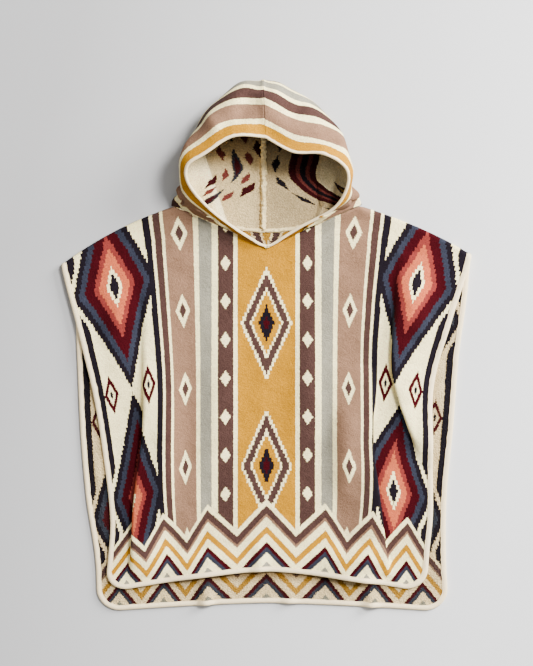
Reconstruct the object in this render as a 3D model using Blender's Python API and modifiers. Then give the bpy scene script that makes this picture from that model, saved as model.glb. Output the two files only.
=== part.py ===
"""A child's hooded bath poncho, laid out flat with its hood opened.

Metres, +Z up from the surface it lies on, +Y from the hem to the crown.
A place on a panel is given by two lengths on the cloth: across, from the
centre line (left is negative), and down, from the height of the neck
points. Each piece is a sheet of cloth placed by a function, and Solidify
gives it its wall.
"""
from collections import namedtuple
import math

import bmesh
import bpy
from mathutils import Vector

# Cloth and tape
CLOTH = 0.0024           # thickness of the terry
TAPE = 0.0008            # thickness of the binding tape
GAP = 0.0003             # left between two pieces
TAPE_GAP = 0.0005        # left between the panels' cloth and its tape
RIM_GAP = 0.0007         # left between the hood's cloth and its tape
TAPE_WIDTH = 0.0125      # of the binding on the panels
RIM_WIDTH = 0.0110       # of the binding on the hood
CORNER = 0.030           # radius of the panels' bottom corners
BAND = 0.0135            # bound edge of a panel, held level for the tape

# Heights of the middle of the cloth over the surface it lies on
BACK_MID = CLOTH / 2
FRONT_MID = BACK_MID + CLOTH + GAP
TAPE_LIFT = TAPE + TAPE_GAP + 0.0001   # a bound edge lies this much higher
OVER_LIFT = 2 * TAPE_LIFT + GAP   # the front rises so much over the back's binding
OVER_REACH = 0.062                # from its side edge, how far the front stays so high
STEP = {"front": 0.012, "back": 0.006}   # in which the cloth comes down beside its binding

# Panels
ORIGIN_Y = 0.0032        # puts the middle of the laid-out towel at the origin
NECK_Y = 0.216           # height of the neck points on the page
NECK_HALF = 0.142        # half the neck opening, along the shoulder
SHOULDER_HALF = 0.316    # half the width at the shoulder tips
SHOULDER_FALL = 0.043    # the shoulder's slope in the cut, over its length
FRONT_NECK_DEPTH = 0.068
BACK_NECK_DEPTH = 0.045
FRONT_LENGTH = 0.566
BACK_LENGTH = 0.615

# How far a side edge reaches from the centre line, and how far it drops
# below the centre of its row, at each level down the cloth
Level = namedtuple("Level", "down reach drop")
FRONT_LEFT = (Level(0.000, 0.330, 0.051), Level(0.043, 0.316, 0.051), Level(0.143, 0.292, 0.046),
              Level(0.243, 0.268, 0.045), Level(0.343, 0.252, 0.043), Level(0.443, 0.241, 0.042),
              Level(0.510, 0.244, 0.038), Level(0.566, 0.249, 0.033))
FRONT_RIGHT = (Level(0.000, 0.330, 0.036), Level(0.043, 0.316, 0.036), Level(0.143, 0.285, 0.037),
               Level(0.243, 0.258, 0.036), Level(0.343, 0.256, 0.036), Level(0.443, 0.256, 0.036),
               Level(0.510, 0.250, 0.035), Level(0.566, 0.248, 0.033))
BACK_LEFT = (Level(0.000, 0.330, 0.051), Level(0.043, 0.316, 0.051), Level(0.110, 0.297, 0.046),
             Level(0.200, 0.292, 0.041), Level(0.320, 0.287, 0.033), Level(0.430, 0.278, 0.026),
             Level(0.530, 0.264, 0.020), Level(0.615, 0.262, 0.014))
BACK_RIGHT = (Level(0.000, 0.330, 0.036), Level(0.043, 0.316, 0.036), Level(0.110, 0.309, 0.034),
              Level(0.200, 0.297, 0.031), Level(0.320, 0.288, 0.026), Level(0.430, 0.278, 0.021),
              Level(0.530, 0.277, 0.017), Level(0.615, 0.281, 0.014))

# Laid folds of the front: where one starts across the cloth, and how much
# cloth it hides, at each level. OVER is 1 where the middle of the panel
# laps outwards over the side, and -1 where the side laps inwards.
Fold = namedtuple("Fold", "down start hidden")
LEFT_FOLD = (Fold(0.10, 0.182, 0.000), Fold(0.20, 0.183, 0.002), Fold(0.27, 0.184, 0.006),
             Fold(0.325, 0.187, 0.014), Fold(0.365, 0.193, 0.021), Fold(0.41, 0.199, 0.025),
             Fold(0.45, 0.203, 0.023), Fold(0.49, 0.204, 0.013), Fold(0.525, 0.203, 0.004),
             Fold(0.552, 0.202, 0.000))
RIGHT_FOLD = (Fold(0.24, 0.158, 0.000), Fold(0.29, 0.159, 0.004), Fold(0.335, 0.160, 0.014),
              Fold(0.38, 0.163, 0.024), Fold(0.43, 0.171, 0.029), Fold(0.47, 0.177, 0.025),
              Fold(0.50, 0.180, 0.014), Fold(0.52, 0.181, 0.006), Fold(0.545, 0.182, 0.000))
RIGHT_CREASE = (Fold(0.06, 0.196, 0.000), Fold(0.14, 0.192, 0.004), Fold(0.20, 0.191, 0.011),
                Fold(0.25, 0.199, 0.019), Fold(0.29, 0.213, 0.017), Fold(0.32, 0.226, 0.010),
                Fold(0.35, 0.240, 0.002), Fold(0.37, 0.242, 0.000), Fold(0.566, 0.228, 0.000))
FOLDS = {-1: ((LEFT_FOLD, 1),), 1: ((RIGHT_FOLD, 1), (RIGHT_CREASE, -1))}
FLATTEST = math.radians(166)    # furthest that the cloth turns over in a fold
ARC = 0.0030 * FLATTEST         # length of each of a fold's two turns
RUN = 0.0010                    # least straight cloth between them
RAMP = 0.070                    # over which the lapping cloth comes down again

# Soft rolls of the front: a line on the cloth, its half width and its height
Roll = namedtuple("Roll", "across_0 down_0 across_1 down_1 half height")
ROLLS = (Roll(-0.215, 0.10, -0.245, 0.24, 0.030, 0.0050),
         Roll(-0.150, 0.26, -0.160, 0.50, 0.024, 0.0060),
         Roll(-0.105, 0.52, -0.100, 0.60, 0.045, 0.0110),
         Roll(0.125, 0.27, 0.118, 0.47, 0.026, 0.0050),
         Roll(0.135, 0.50, 0.150, 0.60, 0.055, 0.0150),
         Roll(0.225, 0.08, 0.240, 0.20, 0.028, 0.0050),
         Roll(0.010, 0.54, 0.012, 0.60, 0.040, 0.0030))

# The hood, one half a side. A rib runs from the rim to the centre seam by
# way of the points fore, side, under and floor (x outwards from the centre).
Rib = namedtuple("Rib", "rim fore side under floor")
LEFT_RIBS = (
    Rib((0.050, 0.180, 0.026), (0.098, 0.201, 0.023), (0.144, 0.222, 0.011), (0.116, 0.213, 0.0012),
        (0.060, 0.208, 0.0012)),
    Rib((0.090, 0.211, 0.048), (0.121, 0.221, 0.041), (0.137, 0.230, 0.019), (0.106, 0.236, 0.0012),
        (0.055, 0.241, 0.0012)),
    Rib((0.117, 0.244, 0.069), (0.131, 0.250, 0.049), (0.119, 0.257, 0.017), (0.090, 0.266, 0.0012),
        (0.046, 0.276, 0.0012)),
    Rib((0.122, 0.276, 0.082), (0.131, 0.285, 0.061), (0.115, 0.294, 0.020), (0.085, 0.306, 0.0012),
        (0.042, 0.322, 0.0012)),
    Rib((0.095, 0.298, 0.087), (0.114, 0.321, 0.069), (0.108, 0.345, 0.034), (0.076, 0.361, 0.0060),
        (0.038, 0.378, 0.0030)),
    Rib((0.050, 0.319, 0.092), (0.062, 0.346, 0.085), (0.058, 0.372, 0.066), (0.040, 0.391, 0.046),
        (0.018, 0.400, 0.036)),
    Rib((0.002, 0.3180, 0.0880), (0.003, 0.342, 0.0890), (0.004, 0.368, 0.0840), (0.005, 0.391, 0.0730),
        (0.005, 0.400, 0.0640)))
RIGHT_RIBS = (
    Rib((0.047, 0.178, 0.022), (0.097, 0.203, 0.020), (0.143, 0.223, 0.011), (0.116, 0.217, 0.0012),
        (0.056, 0.209, 0.0012)),
    Rib((0.100, 0.206, 0.043), (0.125, 0.222, 0.037), (0.135, 0.236, 0.018), (0.103, 0.239, 0.0012),
        (0.050, 0.243, 0.0012)),
    Rib((0.121, 0.238, 0.065), (0.130, 0.247, 0.046), (0.117, 0.257, 0.016), (0.088, 0.266, 0.0012),
        (0.040, 0.276, 0.0012)),
    Rib((0.118, 0.266, 0.079), (0.127, 0.275, 0.058), (0.112, 0.292, 0.019), (0.082, 0.305, 0.0012),
        (0.036, 0.322, 0.0012)),
    Rib((0.084, 0.286, 0.081), (0.109, 0.311, 0.065), (0.103, 0.335, 0.034), (0.068, 0.357, 0.0060),
        (0.030, 0.376, 0.0030)),
    Rib((0.038, 0.296, 0.077), (0.050, 0.322, 0.080), (0.046, 0.355, 0.067), (0.030, 0.384, 0.047),
        (0.010, 0.398, 0.036)),
    Rib((-0.002, 0.3180, 0.0880), (-0.003, 0.342, 0.0890), (-0.004, 0.368, 0.0840), (-0.005, 0.391, 0.0730),
        (-0.005, 0.400, 0.0640)))
Seam = namedtuple("Seam", "x y z")
SEAM = (Seam(-0.007, 0.205, 0.0012), Seam(-0.007, 0.240, 0.0012), Seam(-0.007, 0.286, 0.0012),
        Seam(-0.007, 0.338, 0.0012), Seam(-0.006, 0.389, 0.0080), Seam(-0.006, 0.4035, 0.0330),
        Seam(-0.005, 0.4045, 0.0520))
FRONT_POINT = Vector((0.0, 0.1560, 0.0145))   # where both rims meet over the neck
STATIONS = (0.0, 0.25, 0.5, 0.667, 0.833, 1.0)  # share of a rib at each of its points
NECK_TURN = (0.0040, 0.0024, 0.0058)  # beyond the neck point, where the hood turns under
NECK_EDGE = 0.0019                    # from the panel's neckline to the hood's neck edge
NECK_ROLL = 0.0065                    # rise of the hood's neck edge towards the neck point
NECK_SHARE = 5 / 12                   # of a rib that lies along one panel's neckline
NECK_STOP = 0.50                      # share of a step by which the rim's tape ends short of the neck
RIM_BAND = RIM_WIDTH + 0.0010         # bound edge of the hood
MOST_LEAN = 0.7                       # of the seam's walls, as the sine of its angle
LEAST = 0.0001                        # least height of the hood over the surface
RIM_STEPS = 18
RIB_STEPS = 12


def clamp(value):
    return min(max(value, 0.0), 1.0)


def ease(value):
    value = clamp(value)
    return value * value * (3 - 2 * value)


def spline(before, start, end, after, share):
    """A smooth curve from start to end that heads for its neighbours."""
    out = (end - before) / 2
    into = (after - start) / 2
    square = share * share
    cube = square * share
    return (start * (2 * cube - 3 * square + 1) + out * (cube - 2 * square + share)
            + end * (3 * square - 2 * cube) + into * (cube - square))


def read(table, column, down):
    """The value of a table's column at a level, on a smooth curve between its rows."""
    values = [getattr(row, column) for row in table]
    if down <= table[0].down:
        return values[0]
    for index in range(1, len(table)):
        if down <= table[index].down:
            share = (down - table[index - 1].down) / (table[index].down - table[index - 1].down)
            before = values[max(index - 2, 0)]
            after = values[min(index + 1, len(values) - 1)]
            return spline(before, values[index - 1], values[index], after, share)
    return values[-1]


def taken(turn):
    """Cloth that a fold hides when its two arcs turn so far."""
    return 2 * ARC * (1 - math.sin(turn) / turn) + RUN * (1 - math.cos(turn))


def fold_shape(fold, down):
    """A fold's start, turn, straight run and hidden cloth at a level."""
    start = read(fold, "start", down)
    hidden = max(read(fold, "hidden", down), 0.0)
    spare = hidden - taken(FLATTEST)
    if spare >= 0:
        return start, FLATTEST, RUN + spare / (1 - math.cos(FLATTEST)), hidden
    low, high = 1e-4, FLATTEST
    for _ in range(30):
        turn = (low + high) / 2
        if taken(turn) < hidden:
            low = turn
        else:
            high = turn
    return start, low, RUN, hidden


def lap(distance, turn, run):
    """Forward and upward shift at a distance into an S-fold that turns down and under."""
    radius = ARC / turn
    height = 2 * radius * (1 - math.cos(turn)) + run * math.sin(turn)
    if distance <= 0:
        return distance, height * ease((distance + RAMP) / RAMP)
    if distance <= ARC:
        angle = distance / radius
        return radius * math.sin(angle), height - radius * (1 - math.cos(angle))
    straight = min(distance - ARC, run)
    angle = max(turn - max(distance - ARC - run, 0.0) / radius, 0.0)
    forward = radius * (2 * math.sin(turn) - math.sin(angle)) + straight * math.cos(turn)
    up = height - radius * (1 - 2 * math.cos(turn) + math.cos(angle)) - straight * math.sin(turn)
    return forward + max(distance - 2 * ARC - run, 0.0), up


def folded(side, across, down):
    """Distance from the centre line and height of the front's cloth after its folds."""
    distance, height = across, 0.0
    for fold, over in FOLDS[side]:
        start, turn, run, hidden = fold_shape(fold, down)
        length = 2 * ARC + run
        if over > 0:
            forward, up = lap(across - start, turn, run)
            distance += forward - (across - start)
        else:
            back, up = lap(start + length - across, turn, run)
            distance += length - hidden - back - (across - start)
        height += up
    return distance, height


def roll_height(across, down):
    total = 0.0
    for roll in ROLLS:
        line = Vector((roll.across_1 - roll.across_0, roll.down_1 - roll.down_0))
        to_point = Vector((across - roll.across_0, down - roll.down_0))
        share = to_point.dot(line) / line.length_squared
        off = abs(line.x * to_point.y - line.y * to_point.x) / line.length
        total += roll.height * math.exp(-(off / roll.half) ** 2) * ease(share * 2.5) * ease((1 - share) * 2.5)
    return total


def half_cloth(panel, side, down):
    """Half of a row's cloth: what reaches out to its side edge and what its folds hide."""
    if panel == "back":
        return read(BACK_LEFT if side < 0 else BACK_RIGHT, "reach", down)
    hidden = sum(fold_shape(fold, down)[3] for fold, _ in FOLDS[side])
    return read(FRONT_LEFT if side < 0 else FRONT_RIGHT, "reach", down) + hidden


def inset(from_side, from_hem):
    """Distance from a panel's bound edge: its sides, hem and rounded corners."""
    if from_side < CORNER and from_hem < CORNER:
        return CORNER - math.hypot(CORNER - from_side, CORNER - from_hem)
    return min(from_side, from_hem)


def point(panel, across, down):
    """The middle of a panel's cloth."""
    side = -1 if across < 0 else 1
    length = FRONT_LENGTH if panel == "front" else BACK_LENGTH
    from_side = half_cloth(panel, side, down) - abs(across)
    band = 1 - ease((inset(from_side, length - down) - BAND) / STEP[panel])
    if panel == "front":
        table = FRONT_LEFT if side < 0 else FRONT_RIGHT
        distance, height = folded(side, abs(across), down)
        apart = half_cloth("back", side, down) - read(table, "reach", down)
        beside = 1 - ease((from_side - OVER_REACH) / CORNER)
        over = beside * ease(2 - (apart - STEP["back"]) / BAND)
        kept = BAND + STEP[panel]
        rolled = roll_height(side * (abs(across) - max(kept - from_side, 0.0)), min(down, length - kept))
        settled = beside * ease(2 - (length - down) / CORNER)
        height += FRONT_MID + band * TAPE_LIFT + over * OVER_LIFT + rolled * (1 - settled)
    else:
        table = BACK_LEFT if side < 0 else BACK_RIGHT
        distance, height = abs(across), BACK_MID + band * TAPE_LIFT
    bend = 3.0 - 1.6 * clamp(down / length)
    fall = read(table, "drop", down) * max(distance / read(table, "reach", down), 0.0) ** bend
    return Vector((side * distance, NECK_Y - down - fall + ORIGIN_Y, height))


def top(panel, across):
    """Where a panel's cloth begins: its neckline and its shoulders."""
    share = abs(across) / NECK_HALF
    if share >= 1:
        return SHOULDER_FALL * (abs(across) - NECK_HALF) / (SHOULDER_HALF - NECK_HALF)
    if panel == "front":
        return FRONT_NECK_DEPTH * (1 - share)
    return BACK_NECK_DEPTH * (1 - share ** 2)


def half_width(panel, side, down):
    """Half of a row's cloth, less what the rounded corner takes."""
    length = FRONT_LENGTH if panel == "front" else BACK_LENGTH
    half = half_cloth(panel, side, down)
    into = clamp((down - length + CORNER) / CORNER) * CORNER
    return half - CORNER + math.sqrt(max(CORNER ** 2 - into ** 2, 0.0))


FIELD = {"front": (0.045, 0.095, NECK_HALF), "back": (0.050, 0.100, NECK_HALF, 0.205)}
ARC_STEPS = 3
EDGE_COLUMNS = 3              # where the band begins, where it is level, and the edge itself
MARGIN = 0.006                # cloth beside a fold that has its own columns
CROWDED = 0.100               # beyond this, a corner's row squeezes its places together


def fold_places(fold, down):
    """Places across a fold: round each of its two turns, and just beside them."""
    start, _, run, _ = fold_shape(fold, down)
    turns = [start + ARC * step / ARC_STEPS for step in range(ARC_STEPS + 1)]
    turns += [place + ARC + run for place in turns]
    return [start - MARGIN] + turns + [turns[-1] + MARGIN]


def side_columns(panel, side, down):
    """Places across half a panel, from beside the centre line to its side edge."""
    places = list(FIELD[panel])
    if panel == "front":
        for fold, _ in FOLDS[side]:
            places += fold_places(fold, down)
    half = half_width(panel, side, down)
    within = half - BAND - STEP[panel]
    squeeze = min((within - MARGIN - CROWDED) / (places[-1] - CROWDED), 1.0)
    places = [place if place < CROWDED else CROWDED + (place - CROWDED) * squeeze for place in places]
    return places + [within, half - BAND, half]


def columns(panel, down):
    left = [-place for place in reversed(side_columns(panel, -1, down))]
    return left + [0.0] + side_columns(panel, 1, down)


HEM_INSETS = (CORNER, BAND + STEP["back"], BAND, 0.008, 0.003, 0.0)
ROW_STEPS = {"front": 17, "back": 12}


def grid(panel):
    """Rows of (across, down) places on a panel, from its top to its hem."""
    length = FRONT_LENGTH if panel == "front" else BACK_LENGTH
    shares = [step / ROW_STEPS[panel] for step in range(ROW_STEPS[panel])]
    count = len(columns(panel, length))
    rows = []
    for share in shares:
        row = []
        for index in range(count):
            down = share * (length - CORNER)
            for _ in range(4):
                across = columns(panel, down)[index]
                start = top(panel, across)
                down = start + share * (length - CORNER - start)
            row.append((across, down))
        rows.append(row)
    for distance in HEM_INSETS:
        down = length - distance
        row = columns(panel, down)
        if distance <= BAND:
            row[EDGE_COLUMNS:-EDGE_COLUMNS] = columns(panel, length)[EDGE_COLUMNS:-EDGE_COLUMNS]
        rows.append([(across, down) for across in row])
    return rows


def finish(name, bm, thickness, material):
    """Make a placed sheet an object with a wall of even thickness."""
    bmesh.ops.remove_doubles(bm, verts=bm.verts, dist=1e-5)
    mesh = bpy.data.meshes.new(name)
    bm.to_mesh(mesh)
    bm.free()
    mesh.materials.append(material)
    obj = bpy.data.objects.new(name, mesh)
    bpy.data.collections["hooded_poncho"].objects.link(obj)
    wall = obj.modifiers.new("wall", "SOLIDIFY")
    wall.thickness = thickness
    wall.offset = 0.0
    wall.use_even_offset = True
    mesh.shade_smooth()
    return obj


def sheet(name, points, thickness, material, split=False):
    """A sheet of cloth through rows of points, its faces split where they twist."""
    rows, across = len(points), len(points[0])
    bm = bmesh.new()
    bmesh.ops.create_grid(bm, x_segments=across - 1, y_segments=rows - 1, size=0.5)
    bm.verts.ensure_lookup_table()
    for index, vert in enumerate(bm.verts):
        vert.co = points[index // across][index % across]
    if split:
        bmesh.ops.triangulate(bm, faces=bm.faces, quad_method="SHORT_EDGE")
    return finish(name, bm, thickness, material)


def channel(edges, inners, gap):
    """Rows of a folded tape's section, over a cloth's edge and the line it reaches in to."""
    reach = CLOTH / 2 + gap + TAPE / 2
    beyond = gap + TAPE / 2
    faces, runs = [], []
    for index in range(len(edges) - 1):
        run = edges[index + 1] - edges[index]
        inward = inners[index] + inners[index + 1] - edges[index] - edges[index + 1]
        faces.append(inward.cross(run + inners[index + 1] - inners[index]).normalized())
        runs.append(run.normalized())
    rows = []
    for index, (edge, inner) in enumerate(zip(edges, inners)):
        first, second = max(index - 1, 0), min(index, len(faces) - 1)
        normal = (faces[first] + faces[second]) / (1 + faces[first].dot(faces[second]))
        out = [face.cross(run).normalized() for run, face in
               ((runs[first], faces[first]), (runs[second], faces[second]))]
        out = (out[0] + out[1]) / (1 + out[0].dot(out[1]))
        rows.append([inner + normal * reach, edge + out * beyond + normal * reach,
                     edge + out * beyond - normal * reach, inner - normal * reach])
    return rows


def panel_tape(panel):
    """A panel's bound edge, from shoulder to shoulder, and the line its tape reaches in to."""
    places = grid(panel)
    length = FRONT_LENGTH if panel == "front" else BACK_LENGTH
    edges, inners = [], []
    for column, beside, order in ((0, 1, 1), (-1, -2, -1)):
        side = -order
        side_edges, side_inners = [], []
        for row in places:
            across, down = row[column]
            edge = point(panel, across, down)
            inner = edge.lerp(point(panel, *row[beside]), TAPE_WIDTH / BAND)
            if down > length - CORNER + GAP:
                centre = Vector((side * (half_cloth(panel, side, down) - CORNER), length - CORNER))
                inward = (centre - Vector((across, down))).normalized() * TAPE_WIDTH
                inner = point(panel, across + inward.x, down + inward.y)
            side_edges.append(edge)
            side_inners.append(inner)
        edges.append(side_edges[::order])
        inners.append(side_inners[::order])
    hem = places[-1][1:-1]
    edges.insert(1, [point(panel, *place) for place in hem])
    inners.insert(1, [point(panel, across, down - TAPE_WIDTH) for across, down in hem])
    return sum(edges, []), sum(inners, [])


def neck_row(side):
    """The hood's neck edge: along the front's neckline, round the neck point, along the back's."""
    row = []
    for step in range(RIB_STEPS + 1):
        share = step / RIB_STEPS
        if abs(share - 0.5) < 0.5 / RIB_STEPS:
            corner = point("front", side * NECK_HALF, top("front", NECK_HALF))
            row.append(Vector((corner.x + side * NECK_TURN[0], corner.y + NECK_TURN[1], NECK_TURN[2])))
            continue
        panel = "front" if share < 0.5 else "back"
        along = min(share, 1 - share) / NECK_SHARE
        across = side * NECK_HALF * 0.95 * along
        if panel == "back":
            across += SEAM[0].x * (1 - along) + side * GAP / 2 * (1 - along)
        elif along == 0:
            across = side * GAP / 2
        edge = point(panel, across, top(panel, across))
        ahead = point(panel, across + side * 0.002, top(panel, across + side * 0.002))
        run = (ahead - edge) * side
        out = Vector((-run.y, run.x, 0)).normalized() * NECK_EDGE
        rise = NECK_ROLL * ease(along) + GAP if panel == "front" else 0.0
        if along == 0 and panel == "front":
            out = Vector((0, NECK_EDGE, 0))
        row.append(edge + out + Vector((0, 0, rise)))
    return row


def rib_row(side, rib, seam):
    """Places along a rib, on a smooth curve through its points."""
    ends = [Vector((side * part[0], part[1] + ORIGIN_Y, part[2])) for part in rib]
    ends.append(Vector((seam.x + side * GAP / 2, seam.y + ORIGIN_Y, seam.z)))
    row = []
    for step in range(RIB_STEPS + 1):
        share = step / RIB_STEPS
        index = max(i for i in range(len(STATIONS) - 1) if STATIONS[i] <= share + 1e-6)
        local = (share - STATIONS[index]) / (STATIONS[index + 1] - STATIONS[index])
        before = ends[max(index - 1, 0)]
        after = ends[min(index + 2, len(ends) - 1)]
        row.append(spline(before, ends[index], ends[index + 1], after, clamp(local)))
    return row


def along(row, distance):
    """The place at a distance along a row of points."""
    for start, end in zip(row, row[1:]):
        step = (end - start).length
        if distance <= step:
            return start.lerp(end, distance / step)
        distance -= step
    return row[-1].copy()


def hood_rows(side):
    """The hood's half, from its neck edge to the seam over its crown."""
    ribs = LEFT_RIBS if side < 0 else RIGHT_RIBS
    main = [neck_row(side)]
    main += [rib_row(side, rib, seam) for rib, seam in zip(ribs, SEAM)]
    main[0][0] = FRONT_POINT + Vector((side * (GAP + CLOTH) / 2, ORIGIN_Y, 0))
    for place in main[-1]:
        place.x += side * GAP / 2
    rows = []
    for step in range(RIM_STEPS + 1):
        place = step / RIM_STEPS * (len(main) - 1)
        index = min(int(place), len(main) - 2)
        share = place - index
        before = main[max(index - 1, 0)]
        after = main[min(index + 2, len(main) - 1)]
        row = [spline(*four, share) for four in zip(before, main[index], main[index + 1], after)]
        rest = sum((end - start).length for start, end in zip(row[:4], row[1:5])) - RIM_BAND
        row[1:4] = [along(row, RIM_BAND + rest * count / 3) for count in range(3)]
        for place in row:
            place.z = max(place.z, BACK_MID + LEAST)
        rows.append(row)
    part_seam(rows, side)
    return rows


def part_seam(rows, side):
    """Open the centre seam where its walls lean together, so that they stay clear."""
    ends = [row[-1] for row in rows] + rows[-1][-2::-1]
    insides = [row[-2] for row in rows[:-1]] + rows[-2][-2:-1] + rows[-2][-2::-1]
    leans = []
    for index, (end, inside) in enumerate(zip(ends, insides)):
        run = ends[min(index + 1, len(ends) - 1)] - ends[max(index - 1, 0)]
        lean = Vector((1, 0, 0)).cross(run).normalized().dot((end - inside).normalized())
        leans.append(min(abs(lean), MOST_LEAN))
    leans[len(rows) - 1] = 1.0      # where the seam turns up over the crown
    for index, end in enumerate(ends):
        end.x += side * max(leans[max(index - 4, 0):index + 5]) * CLOTH / 2


def rim_tape():
    """The hood's rim, from the neck over the brow to the neck, and the line its tape reaches in to."""
    left, right = hood_rows(-1), hood_rows(1)
    ends = [(row[0], row[1]) for row in left[:-1]]
    ends.append(tuple((left[-1][index] + right[-1][index]) / 2 for index in (0, 1)))
    ends += [(row[0], row[1]) for row in reversed(right[:-1])]
    for end, beside in ((0, 1), (-1, -2)):
        ends[end] = tuple(a.lerp(b, NECK_STOP) for a, b in zip(ends[end], ends[beside]))
    edges, inners = [], []
    for index, (edge, within) in enumerate(ends):
        near = clamp(min(index, len(ends) - 1 - index) / 3)
        edges.append(edge)
        inners.append(edge.lerp(within, RIM_WIDTH / RIM_BAND * (0.35 + 0.65 * near)))
    return edges, inners


def material(name, colour, roughness):
    mat = bpy.data.materials.new(name)
    mat.use_nodes = True
    shader = mat.node_tree.nodes["Principled BSDF"]
    shader.inputs["Base Color"].default_value = (*colour, 1)
    shader.inputs["Roughness"].default_value = roughness
    shader.inputs["Metallic"].default_value = 0.0
    return mat


def build():
    for obj in list(bpy.data.objects):
        bpy.data.objects.remove(obj, do_unlink=True)
    collection = bpy.data.collections.new("hooded_poncho")
    bpy.context.scene.collection.children.link(collection)

    velour = material("velour", (0.62, 0.54, 0.43), 0.95)
    loops = material("loops", (0.55, 0.47, 0.36), 0.95)
    tape = material("tape", (0.83, 0.75, 0.65), 0.85)

    for panel, cloth in (("front", velour), ("back", loops)):
        rows = [[point(panel, *place) for place in row] for row in grid(panel)]
        sheet(panel + "_panel", rows, CLOTH, cloth)
        sheet(panel + "_binding", channel(*panel_tape(panel), TAPE_GAP), TAPE, tape)
    for side, name in ((-1, "hood_left"), (1, "hood_right")):
        sheet(name, hood_rows(side), CLOTH, velour, split=True)
    sheet("hood_binding", channel(*rim_tape(), RIM_GAP), TAPE, tape, split=True)


build()
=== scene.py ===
"""The looks of the hooded towel: velour, terry, tape and stitches over its solids.

Metres, +Z up from the floor, +Y from the hem to the crown. Places on a panel
are lengths on the cloth: across, from the centre line (left is negative), and
down, from the height of the neck points. The rows of a table are millimetres.
"""
from collections import namedtuple
import math

import bmesh
import bpy
import numpy as np
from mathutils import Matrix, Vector, noise


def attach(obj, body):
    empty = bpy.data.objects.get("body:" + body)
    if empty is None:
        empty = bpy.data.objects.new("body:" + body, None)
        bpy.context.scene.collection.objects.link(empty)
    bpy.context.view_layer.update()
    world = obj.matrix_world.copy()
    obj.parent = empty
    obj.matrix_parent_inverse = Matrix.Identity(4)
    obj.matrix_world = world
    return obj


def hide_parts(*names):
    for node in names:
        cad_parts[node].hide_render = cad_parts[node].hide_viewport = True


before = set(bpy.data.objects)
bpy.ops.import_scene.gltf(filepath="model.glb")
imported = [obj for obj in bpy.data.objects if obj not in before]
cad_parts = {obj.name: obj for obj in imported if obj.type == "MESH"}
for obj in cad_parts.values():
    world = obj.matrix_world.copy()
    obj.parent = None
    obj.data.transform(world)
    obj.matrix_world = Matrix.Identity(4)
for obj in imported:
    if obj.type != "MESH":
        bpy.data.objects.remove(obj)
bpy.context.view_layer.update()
noise.seed_set(7)         # noise_vector would differ from run to run without it


def metres(value):
    """Millimetres, or a row of them, in metres."""
    if isinstance(value, tuple):
        return tuple(metres(part) for part in value)
    return value if isinstance(value, str) else value / 1000


def table(kind, *rows):
    """Rows of a kind, from rows of millimetres."""
    return tuple(kind(*metres(row)) for row in rows)


# ------------------------ sizes
CLOTH = 0.0024            # thickness of the terry
TAPE = 0.0007             # thickness of the binding tape
SOLID_TAPE = 0.0008       # and of the solids' tape
GAP = 0.0003              # between cloths that lie on one another
TAPE_GAP = 0.0005         # the solids' tape stands so far off its cloth
TAPE_WIDTH = 0.0125       # of the solids' tape on each side of a panel
RIM_WIDTH = 0.0110        # and on each side of the hood
CORNER = 0.038            # radius of the panels' bottom corners
BAND = 0.0135             # bound edge of a panel, held level for the tape
BACK_MID = CLOTH / 2      # height of the middle of the back's cloth
FRONT_MID = BACK_MID + CLOTH + GAP
TAPE_LIFT = SOLID_TAPE + TAPE_GAP + 0.0001    # of a bound edge, for the tape under it
OVER_LIFT = 2 * TAPE_LIFT + GAP               # of the front's, over the back's
OVER_REACH = 0.062        # how far in from its side the front is lifted so
SHOULDER_ROLL = 0.0048    # the front's shoulders turn down over the back's, within this of the seam
SHOULDER_OVER = 0.0013    # how far they come over it
SEAM_LEVEL = 0.0011       # height of their edge there
NECK_PUFF = 0.020         # the front stands up to meet the hood, within this of the neckline
NECK_TUCK = 0.0025        # the back runs in under the hood's edge
FLOOR_LEVEL = 0.0004      # lowest height of the tape's middle
STEP = {"front": 0.012, "back": 0.006}        # from a bound edge to where the cloth lies free
ORIGIN_Y = 0.0032         # shift up the page that centres the towel
NECK_Y = 0.216            # how far up the page the neck points are
NECK_HALF = 0.142         # from the centre line to a neck point
SHOULDER_HALF = 0.316     # and to the tip of a shoulder
SHOULDER_FALL = 0.043     # how much lower the tip is
NECK_DEPTH = {"front": 0.068, "back": 0.045}
LENGTH = {"front": 0.566, "back": 0.615}
CUT_HALF = 0.320          # half the width that the panels are cut to
CUT_PLAIN = 0.090         # within this of the centre line the cut shows unstretched

Level = namedtuple("Level", "down reach drop")
FRONT_LEFT = table(Level, (0, 330, 51), (43, 316, 51), (143, 292, 46), (243, 268, 45), (343, 252, 43),
    (443, 241, 42), (510, 244, 38), (566, 249, 33))
FRONT_RIGHT = table(Level, (0, 330, 36), (43, 316, 36), (143, 285, 37), (243, 258, 36), (343, 256, 36),
    (443, 256, 36), (510, 250, 35), (566, 248, 33))
BACK_LEFT = table(Level, (0, 330, 51), (43, 316, 51), (110, 297, 46), (200, 292, 41), (320, 287, 33),
    (430, 278, 26), (530, 264, 20), (615, 262, 14))
BACK_RIGHT = table(Level, (0, 330, 36), (43, 316, 36), (110, 309, 34), (200, 297, 31), (320, 288, 26),
    (430, 278, 21), (530, 277, 17), (615, 281, 14))
SIDES = {("front", -1): FRONT_LEFT, ("front", 1): FRONT_RIGHT,
         ("back", -1): BACK_LEFT, ("back", 1): BACK_RIGHT}

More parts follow.
